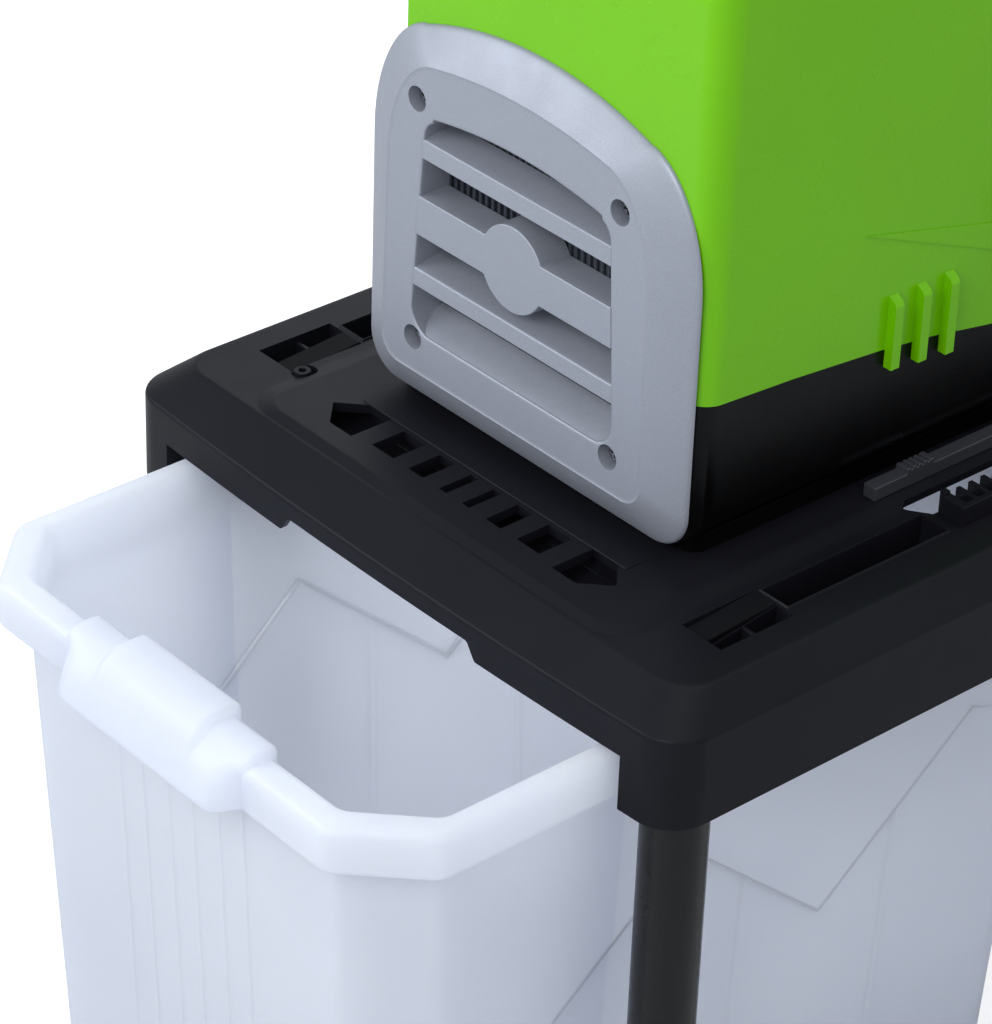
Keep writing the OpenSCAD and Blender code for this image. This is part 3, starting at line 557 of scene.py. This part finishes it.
st = []
xs = [-80, -77.5, -75.5, -74, -72.5, -71, -69, -66, -62, -56, -50, -45, -42.5, -41, -39.6, -38.2, -36.6, -34, -28, -18, -8]
for x in xs + [0] + [-v for v in reversed(xs)]:
    ax = abs(x)
    t1 = smooth((76 - ax) / 4.4)          # first step
    t2 = smooth((41.4 - ax) / 3.8)        # second step
    fl_ = smooth((75 - ax) / 15.0)        # flare of the lower lip
    h = -1.6 + 6.4 * t1 + 4.8 * t2
    yi = 17.0 + 4.6 * t1 + 4.2 * t2
    yo = 1.6 - 15.4 * fl_
    lo = -25.5 - 2.2 * fl_
    sec = [(yo + 0.2, lo + 1.6), (yo, lo + 4.5), (yo + 0.5, lo + 8.5), (yo * 0.82 + 0.6, -12), (yo * 0.52 + 0.7, -7 + h * 0.3), (yo * 0.26 + 0.8, h - 6.4), (yo * 0.10 + 1.4, h - 3.9),
           (2.6, h - 2.2), (4.2, h - 0.95), (6.2, h - 0.25), (8.6, h), (yi - 4.4, h), (yi - 2.6, h - 0.45), (yi - 1.2, h - 1.4), (yi - 0.35, h - 2.9),
           (yi, h - 5), (yi, -14), (yi - 0.8, -19), (yi - 3.0, -23.0), (9.0, -26.0), (yo * 0.4 + 4, lo + 0.2), (yo + 3.0, lo), (yo + 1.0, lo + 0.4)]
    st.append([P(x, y + BY, z + BZ) for y, z in sec])
grip = loft("bin_grip", st, "milky", cap0=True, cap1=True)
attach(grip, "bin")

# ------------------------------------------------------------------ deck
DB = 498.0


def deck_pts(hw, yf, yr, r, bow, nf=16, nc=12, ny=10):
    p = [((hw - r) * i / nf, yf - bow * (1 - (i / nf) ** 2)) for i in range(nf)]
    p += arc(hw - r, yf + r, r, -90, 0, nc)
    p += [(hw, yf + r + (yr - yf - 2 * r) * i / ny) for i in range(1, ny)]
    p += arc(hw - r, yr - r, r, 0, 90, nc)
    p += [((hw - r) * (1 - i / 6), yr) for i in range(1, 6)]
    return p + [(0, yr)] + [(-x, y) for x, y in reversed(p) if x > 1e-6]


def deck_ring(hw, yf, yr, r, bow, z):
    return [P(x, y, z) for x, y in deck_pts(hw, yf, yr, r, bow)]


def dsolid(name, spec):
    return loft(name, [deck_ring(*q) for q in spec], "deck", cap0=True, cap1=True)


b_ = DB
deck = dsolid("deck_moulding", [
    (200, -40, b_ - 18, 20, 4, -69.8), (215.8, -55.8, b_ - 2.2, 21.8, 5, -70), (217.3, -57.3, b_ - 0.7, 23.3, 5, -70), (217.8, -57.8, b_ - 0.2, 23.8, 5, -69.8), (218, -58, b_, 24, 5, -69.2),
    (218, -58, b_, 24, 5, -20.2), (217.93, -57.93, b_ - 0.07, 23.97, 5, -19.1), (217.6, -57.6, b_ - 0.4, 23.8, 4.9, -18.1), (217.0, -57.0, b_ - 1, 23.5, 4.8, -17.2),
    (203.0, -38.0, b_ - 15.0, 21, 1.2, -4.4), (202.0, -36.8, b_ - 16, 20.6, 1.0, -3.5), (200.9, -35.7, b_ - 17.1, 20.2, 0.8, -2.85), (199.5, -34.8, b_ - 18.5, 19.6, 0.6, -2.54), (197.8, -34.2, b_ - 20.2, 19, 0.4, -2.5),
    (150.4, -33.9, b_ - 38, 22.6, 0.3, -2.5), (148.6, -33.5, b_ - 40, 22.2, 0.3, -2.42), (147.2, -33.0, b_ - 41.4, 21.5, 0.3, -2.1),
    (139.6, -28.4, b_ - 48.6, 16.8, 0.3, -0.36), (138.2, -27.6, b_ - 50, 16, 0.3, -0.08), (136.6, -26.8, b_ - 51.6, 15.2, 0.3, 0.0)])
void = dsolid("void", [(200, -40, b_ - 18, 17, 4, -90), (215, -55, b_ - 3, 21, 5, -90), (215, -55, b_ - 3, 21, 4, -23), (198, -34, b_ - 20, 17.2, 1, -7), (196, -31, b_ - 22, 16, 1, -5.5)])
feet = dsolid("feet", [(200, -40, b_ - 18, 20, 5, -76), (217.4, -57.4, b_ - 0.6, 23.4, 5, -76), (218, -58, b_, 24, 5, -75.4), (218, -58, b_, 24, 5, -69), (200, -40, b_ - 18, 20, 5, -69)])


def bx(x0, x1, y0, y1, z0, z1, name="bx"):
    return prism(name, [(x0, y0), (x1, y0), (x1, y1), (x0, y1)], z0, z1, "deck", "z")


def both(pts, z0, z1):
    return [prism("p", pts, z0, z1, "deck", "z"), prism("p", [(-x, y) for x, y in reversed(pts)], z0, z1, "deck", "z")]


def bothx(pts, x0, x1):
    return [prism("p", pts, x0, x1, "deck", "x"), prism("p", pts, -x1, -x0, "deck", "x")]


def disc(x, y, r, z0, z1, n=40):
    return prism("d", [(x + a, y + b) for a, b in arc(0, 0, r, 0, 360 - 360 / n, n - 1)], z0, z1, "deck", "z")


box4 = lambda x0, x1, y0, y1: [(x0, y0), (x1, y0), (x1, y1), (x0, y1)]
keep = join("keep", both(box4(182.4, 222, -70, -6), -90, -60) + both(box4(182.4, 222, -6.0, 2), -74, -60))
cut(feet, keep, op="INTERSECT")
cut(deck, feet, op="UNION")
solid = both(box4(182.4, 185.2, -66, -16), -76, -1) + both(box4(155.5, 178, 55, 172), -29, -1) + both(box4(153, 185, 3, 56), -25, -1)
socks = [disc(s_ * 198, y, 20.9, -76, -1) for s_ in (-1, 1) for y in (-34, 472)]
cut(void, *solid, *socks)
cut(deck, void)
cuts = [disc(s_ * 198, y, 17.56, -90, -26) for s_ in (-1, 1) for y in (-34, 472)]
cuts.append(bx(-230, 230, 440, 520, -90, -70))
cuts.append(bx(-182.4, 182.4, -90, -18, -95, -38))
lip = [(-182.4, -37), (-182.4, -38)] + arc(-80.5, -41, 3, 90, 40, 3) + arc(-73.5, -25.5, 3, 215, 270, 4) + arc(73.5, -25.5, 3, -90, -35, 4) + arc(80.5, -41, 3, 140, 90, 3) + [(182.4, -38), (182.4, -37)]
cuts.append(prism("lip", [(-182.4, -60), (182.4, -60), (182.4, -38), (78.6, -38), (77.4, -37.2), (72.4, -29.4), (70.8, -28.5), (-70.8, -28.5), (-72.4, -29.4), (-77.4, -37.2), (-78.6, -38), (-182.4, -38)], -90, -18, "deck"))
cuts.append(bx(-150, 150, -23, -18, -90, -24))
cuts += both([(79.8, -14.2), (97.6, -14.2), (112.4, 0), (97.6, 14.2), (79.8, 14.2)], -12, 5)
cuts += both(box4(49, 66.5, -10.9, 10.9), -12, 5) + both(box4(24.9, 36.7, -10.9, 10.9), -12, 5) + both(box4(6.1, 11.9, -10.9, 10.9), -12, 5)
cuts += both(box4(157.5, 176, 57, 170), -27, 5)
cuts += both(box4(171, 183, 5, 54), -23, 5)
cuts += bothx([(5, 5), (5, -10), (54, -3), (54, 5)], 155, 171)
cuts += both([(143, 172), (146, 166), (160, 176), (160, 400), (143, 400)], -12, 5)
cuts.append(bx(-78, 78, 238, 340, -40, 5))
cut(deck, *cuts)
boss_well = disc(-150.5, 10.5, 7.4, -9, 5)
cut(deck, boss_well)
finish_piece(deck, 0.55, 2, 38)
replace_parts(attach(deck, "frame") or deck, "deck")

bits = []
o = disc(-149.5, 8.5, 4.7, -10, -0.4); cut(o, disc(-149.5, 8.5, 2.1, -6, 5)); finish_piece(o, 0.5, 2, 40); o.name = "deck_boss"; bits.append(o)
o = bx(-104, 104, 13.4, 47, -1.0, 0.75, "deck_step"); finish_piece(o, 0.5, 2, 40); bits.append(o)
for s_, nm in ((-1, "left"), (1, "right")):
    x0, x1 = (171.2, 182.6) if s_ > 0 else (-182.6, -171.2)
    o = bx(x0, x1, 30, 32.4, -22, -6, "recess_rib_" + nm); finish_piece(o, 0.4, 2, 40); bits.append(o)
    rm = loft("pocket_rim_" + nm, [[P(s_ * x, y, z) for x, y in box4(157.5 - g, 176 + g, 57 - g, 170 + g)] for g, z in ((0.2, -3.4), (0.2, -1.5), (0.9, -1.5), (1.6, -2.6), (1.6, -3.4))], "deck", close=True)
    finish_piece(rm, 0.25, 2, 40); bits.append(rm)
tray = bx(-119, 119, -19, 19, -18, -5.6, "slot_tray"); cut(tray, bx(-117, 117, -17, 17, -16.5, 0)); finish_piece(tray, 0.4, 2, 40); bits.append(tray)
for s_, nm in ((-1, "left"), (1, "right")):
    pts = [(5.8, -5.0), (53.4, -1.7), (53.4, -4.2), (5.8, -7.6)]
    o = prism("recess_tab_" + nm, pts, *((155.6, 170.2) if s_ > 0 else (-170.2, -155.6)), "tab", "x"); finish_piece(o, 0.5, 2, 40); bits.append(o)
for o in bits:
    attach(o, "frame")

# ------------------------------------------------------------------ floor, light, camera
fl = new_mesh("studio_floor", [(-9, -9, 0), (9, -9, 0), (9, 9, 0), (-9, 9, 0)], [(0, 1, 2, 3)], "black", False)
mf = M("floor_white")
mf.color(mf.mix(mf.ramp(mf.noise(3, 2), 0, 1), (0.60, 0.605, 0.61), (0.62, 0.622, 0.625)))
mf.set(Roughness=0.9, Specular_IOR_Level=0.1, Emission_Color=(1.0, 1.0, 1.0, 1.0))
lp = mf.n("ShaderNodeLightPath")
mf.link(mf.ramp(lp.outputs["Is Camera Ray"], 0.0, 0.62, 0.0, 1.0), mf.b.inputs["Emission Strength"])
fl.data.materials.clear(); fl.data.materials.append(mf.m)

w = bpy.data.worlds.new("studio"); bpy.context.scene.world = w; w.use_nodes = True
bg = w.node_tree.nodes["Background"]
bg.inputs[0].default_value = (0.93, 0.96, 1.0, 1); bg.inputs[1].default_value = 0.78


def area(name, loc, target, size, power, col=(1, 1, 1), sy=None):
    L = bpy.data.lights.new(name, "AREA"); L.shape = "RECTANGLE"; L.size = size; L.size_y = sy or size
    L.energy = power; L.color = col
    o = bpy.data.objects.new(name, L); bpy.context.scene.collection.objects.link(o)
    o.location = loc
    d = Vector(target) - Vector(loc)
    o.rotation_euler = d.to_track_quat("-Z", "Y").to_euler()
    return o


area("softbox_left", (-1.45, -1.75, 1.35), (0, 0, 0.5), 1.5, 26, (0.91, 0.95, 1.0), 1.1)
area("softbox_front", (0.75, -1.75, 1.95), (0, 0, 0.5), 0.9, 24, (0.92, 0.97, 1.0))
area("top_back", (-1.3, 1.2, 1.7), (0, 0, 0.5), 1.3, 4.5, (0.90, 0.97, 1.0))
area("overhead", (0, 0.1, 2.6), (0, 0, 0.5), 1.4, 10)

# camera fitted to the picture: units are 1.124 mm from the deck's middle
az, el, roll = (math.radians(v) for v in (48.37, 32.31, 2.0))
b = Vector((math.sin(az) * math.cos(el), -math.cos(az) * math.cos(el), math.sin(el)))
r = Vector((math.cos(az), math.sin(az), 0)); u = b.cross(r)
r2 = math.cos(roll) * r + math.sin(roll) * u
u2 = -math.sin(roll) * r + math.cos(roll) * u
C = (11.81 * r2 - 9.56 * u2 + 1869.06 * b) * 1.124
cam = bpy.data.cameras.new("cam"); cam.lens = 4093.75 * 36 / 1024; cam.sensor_width = 36; cam.sensor_fit = "AUTO"
cam.clip_start = 0.05; cam.clip_end = 50
co = bpy.data.objects.new("cam", cam); bpy.context.scene.collection.objects.link(co)
mw = Matrix((r2, u2, b)).transposed().to_4x4()
mw.translation = Vector(P(*C))
co.matrix_world = mw
bpy.context.scene.camera = co
bpy.context.scene.view_settings.view_transform = "Standard"
